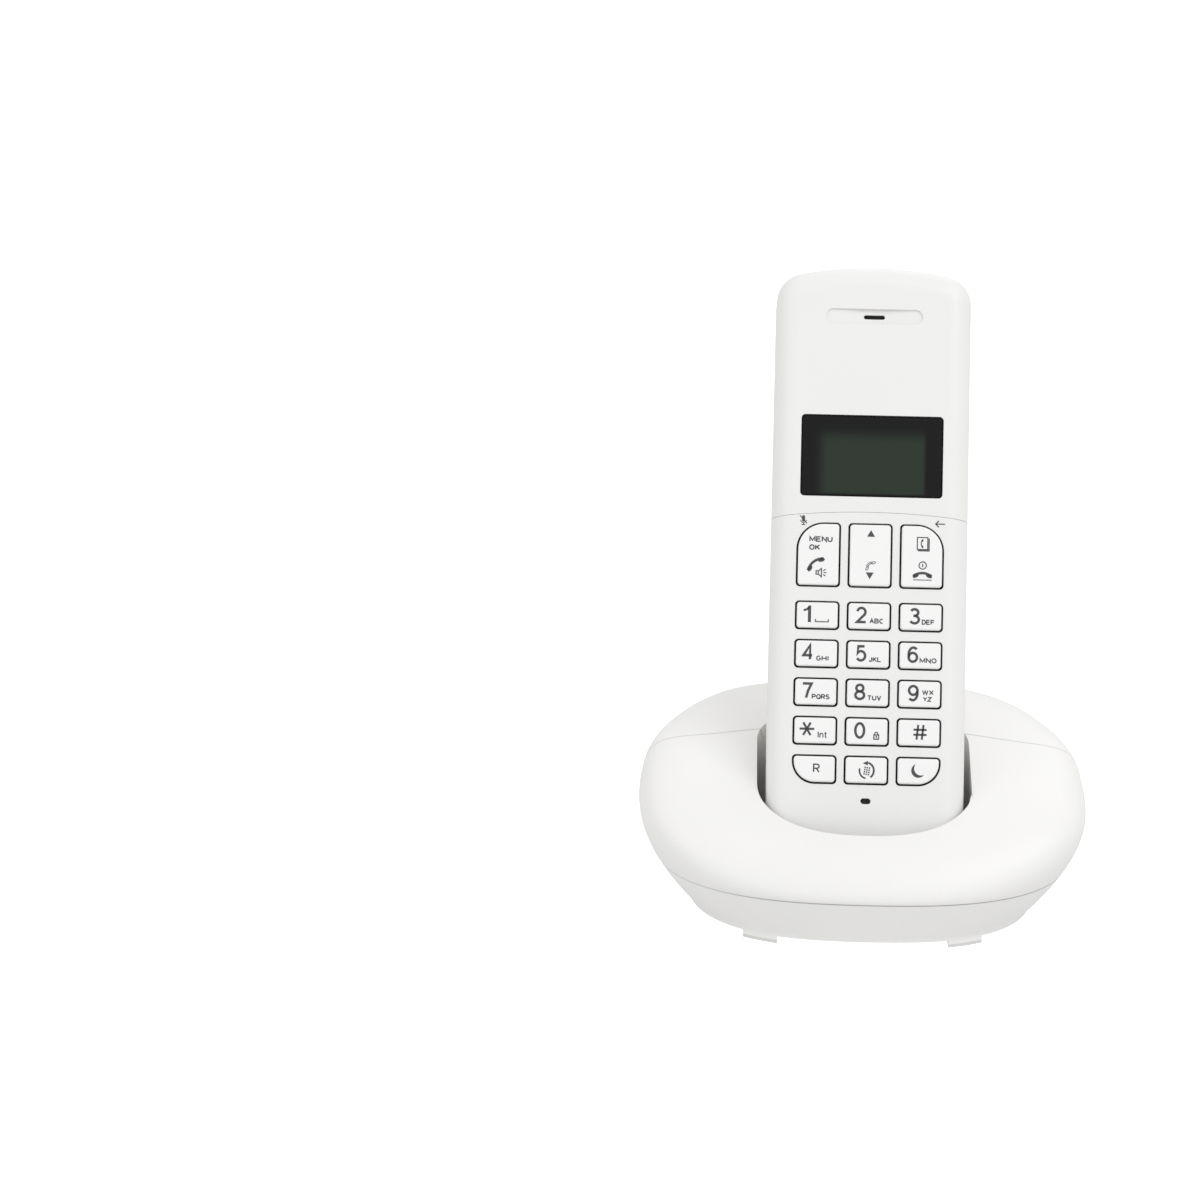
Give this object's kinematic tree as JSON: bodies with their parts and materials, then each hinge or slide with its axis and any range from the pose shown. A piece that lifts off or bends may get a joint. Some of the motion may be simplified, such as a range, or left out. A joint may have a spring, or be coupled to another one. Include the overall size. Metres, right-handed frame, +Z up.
{
  "type": "cordless phone with base",
  "caption": "Cordless telephone handset with keypad and display, standing in an oval charging base that it lifts out of.",
  "frame": {"origin": "on the supporting surface, under the middle of the whole object's bounding box with the handset docked", "axes": "+Z up, -Y towards the person facing the keypad, +X to that person's right"},
  "size_m": [0.1069, 0.0913, 0.1454],
  "materials": {
    "base_plastic": "satin white",
    "handset_plastic": "satin white",
    "key_plastic": "satin white",
    "foot_rubber": "matt",
    "screw_steel": "bright zinc",
    "board": "solder mask",
    "tinned_steel": "tinned",
    "can_aluminium": "sleeved",
    "spring_metal": "nickel",
    "jack_plastic": "satin",
    "dark_plastic": "satin",
    "display_window": "glossy, smoked",
    "display_glass": "grey-green",
    "light_guide": "clear",
    "keypad_rubber": "matt",
    "cell_wrap": "shrink wrap",
    "contact_metal": "nickel"
  },
  "bodies": {
    "base": {"base_bottom_shell": "base_plastic", "base_front_cover": "base_plastic", "base_rear_cover": "base_plastic", "cradle_well": "base_plastic", "base_rubber_feet": "foot_rubber", "base_screws": "screw_steel", "base_main_board": "board", "base_shield_can": "tinned_steel", "base_capacitors": "can_aluminium", "base_antenna": "spring_metal", "line_jack": "jack_plastic", "power_jack": "jack_plastic", "page_switch": "dark_plastic"},
    "handset": {"handset_rear_shell": "handset_plastic", "handset_upper_cover": "handset_plastic", "handset_keypad_cover": "handset_plastic", "display_lens": "display_window", "lcd_module": "display_glass", "lcd_backlight": "light_guide", "earpiece_speaker": "dark_plastic", "loudspeaker": "dark_plastic", "microphone": "dark_plastic", "handset_board": "board", "handset_shield_can": "tinned_steel", "handset_antenna": "spring_metal", "keypad_sheet": "keypad_rubber", "battery_tray": "dark_plastic", "battery_cells": "cell_wrap", "battery_springs": "spring_metal", "battery_contacts": "spring_metal", "handset_charge_pads": "contact_metal", "handset_screws": "screw_steel"},
    "battery_cover": {"battery_cover": "handset_plastic"},
    "page_button": {"page_button": "base_plastic"},
    "charge_contact_left": {"charge_contact_left": "contact_metal"},
    "charge_contact_right": {"charge_contact_right": "contact_metal"},
    "key_menu_talk": {"key_menu_talk": "key_plastic"},
    "key_nav": {"key_nav": "key_plastic"},
    "key_book_end": {"key_book_end": "key_plastic"},
    "key_1": {"key_1": "key_plastic"},
    "key_2": {"key_2": "key_plastic"},
    "key_3": {"key_3": "key_plastic"},
    "key_4": {"key_4": "key_plastic"},
    "key_5": {"key_5": "key_plastic"},
    "key_6": {"key_6": "key_plastic"},
    "key_7": {"key_7": "key_plastic"},
    "key_8": {"key_8": "key_plastic"},
    "key_9": {"key_9": "key_plastic"},
    "key_star": {"key_star": "key_plastic"},
    "key_0": {"key_0": "key_plastic"},
    "key_hash": {"key_hash": "key_plastic"},
    "key_flash": {"key_flash": "key_plastic"},
    "key_redial": {"key_redial": "key_plastic"},
    "key_night": {"key_night": "key_plastic"}
  },
  "joints": [
    {"name": "handset_lift", "type": "slide", "parent": "base", "child": "handset", "axis": [0, 0.4226, 0.9063], "range_m": [0, 0.08]},
    {"name": "battery_cover_off", "type": "slide", "parent": "handset", "child": "battery_cover", "axis": [0, 0.9063, -0.4226], "range_m": [0, 0.02]},
    {"name": "page_press", "type": "slide", "parent": "base", "child": "page_button", "axis": [0, -1, 0], "range_m": [0, 0.0008], "stiffness_N_per_m": 500},
    {"name": "charge_contact_left_press", "type": "slide", "parent": "base", "child": "charge_contact_left", "axis": [0, 0.1374, 0.9905], "range_m": [-0.0008, 0], "stiffness_N_per_m": 300},
    {"name": "charge_contact_right_press", "type": "slide", "parent": "base", "child": "charge_contact_right", "axis": [0, 0.1374, 0.9905], "range_m": [-0.0008, 0], "stiffness_N_per_m": 300},
    {"name": "key_menu_talk_rock", "type": "hinge", "parent": "handset", "child": "key_menu_talk", "pos_m": [-0.0122, -0.00018, 0.08301], "axis": [1, 0, 0], "range_deg": [-4, 4], "stiffness_Nm_per_rad": 0.03},
    {"name": "key_nav_rock", "type": "hinge", "parent": "handset", "child": "key_nav", "pos_m": [0, -0.00018, 0.08301], "axis": [1, 0, 0], "range_deg": [-4, 4], "stiffness_Nm_per_rad": 0.03},
    {"name": "key_book_end_rock", "type": "hinge", "parent": "handset", "child": "key_book_end", "pos_m": [0.0122, -0.00018, 0.08301], "axis": [1, 0, 0], "range_deg": [-4, 4], "stiffness_Nm_per_rad": 0.03},
    {"name": "key_1_press", "type": "slide", "parent": "handset", "child": "key_1", "axis": [0, 0.9063, -0.4226], "range_m": [0, 0.001], "stiffness_N_per_m": 400},
    {"name": "key_2_press", "type": "slide", "parent": "handset", "child": "key_2", "axis": [0, 0.9063, -0.4226], "range_m": [0, 0.001], "stiffness_N_per_m": 400},
    {"name": "key_3_press", "type": "slide", "parent": "handset", "child": "key_3", "axis": [0, 0.9063, -0.4226], "range_m": [0, 0.001], "stiffness_N_per_m": 400},
    {"name": "key_4_press", "type": "slide", "parent": "handset", "child": "key_4", "axis": [0, 0.9063, -0.4226], "range_m": [0, 0.001], "stiffness_N_per_m": 400},
    {"name": "key_5_press", "type": "slide", "parent": "handset", "child": "key_5", "axis": [0, 0.9063, -0.4226], "range_m": [0, 0.001], "stiffness_N_per_m": 400},
    {"name": "key_6_press", "type": "slide", "parent": "handset", "child": "key_6", "axis": [0, 0.9063, -0.4226], "range_m": [0, 0.001], "stiffness_N_per_m": 400},
    {"name": "key_7_press", "type": "slide", "parent": "handset", "child": "key_7", "axis": [0, 0.9063, -0.4226], "range_m": [0, 0.001], "stiffness_N_per_m": 400},
    {"name": "key_8_press", "type": "slide", "parent": "handset", "child": "key_8", "axis": [0, 0.9063, -0.4226], "range_m": [0, 0.001], "stiffness_N_per_m": 400},
    {"name": "key_9_press", "type": "slide", "parent": "handset", "child": "key_9", "axis": [0, 0.9063, -0.4226], "range_m": [0, 0.001], "stiffness_N_per_m": 400},
    {"name": "key_star_press", "type": "slide", "parent": "handset", "child": "key_star", "axis": [0, 0.9063, -0.4226], "range_m": [0, 0.001], "stiffness_N_per_m": 400},
    {"name": "key_0_press", "type": "slide", "parent": "handset", "child": "key_0", "axis": [0, 0.9063, -0.4226], "range_m": [0, 0.001], "stiffness_N_per_m": 400},
    {"name": "key_hash_press", "type": "slide", "parent": "handset", "child": "key_hash", "axis": [0, 0.9063, -0.4226], "range_m": [0, 0.001], "stiffness_N_per_m": 400},
    {"name": "key_flash_press", "type": "slide", "parent": "handset", "child": "key_flash", "axis": [0, 0.9063, -0.4226], "range_m": [0, 0.001], "stiffness_N_per_m": 400},
    {"name": "key_redial_press", "type": "slide", "parent": "handset", "child": "key_redial", "axis": [0, 0.9063, -0.4226], "range_m": [0, 0.001], "stiffness_N_per_m": 400},
    {"name": "key_night_press", "type": "slide", "parent": "handset", "child": "key_night", "axis": [0, 0.9063, -0.4226], "range_m": [0, 0.001], "stiffness_N_per_m": 400}
  ]
}
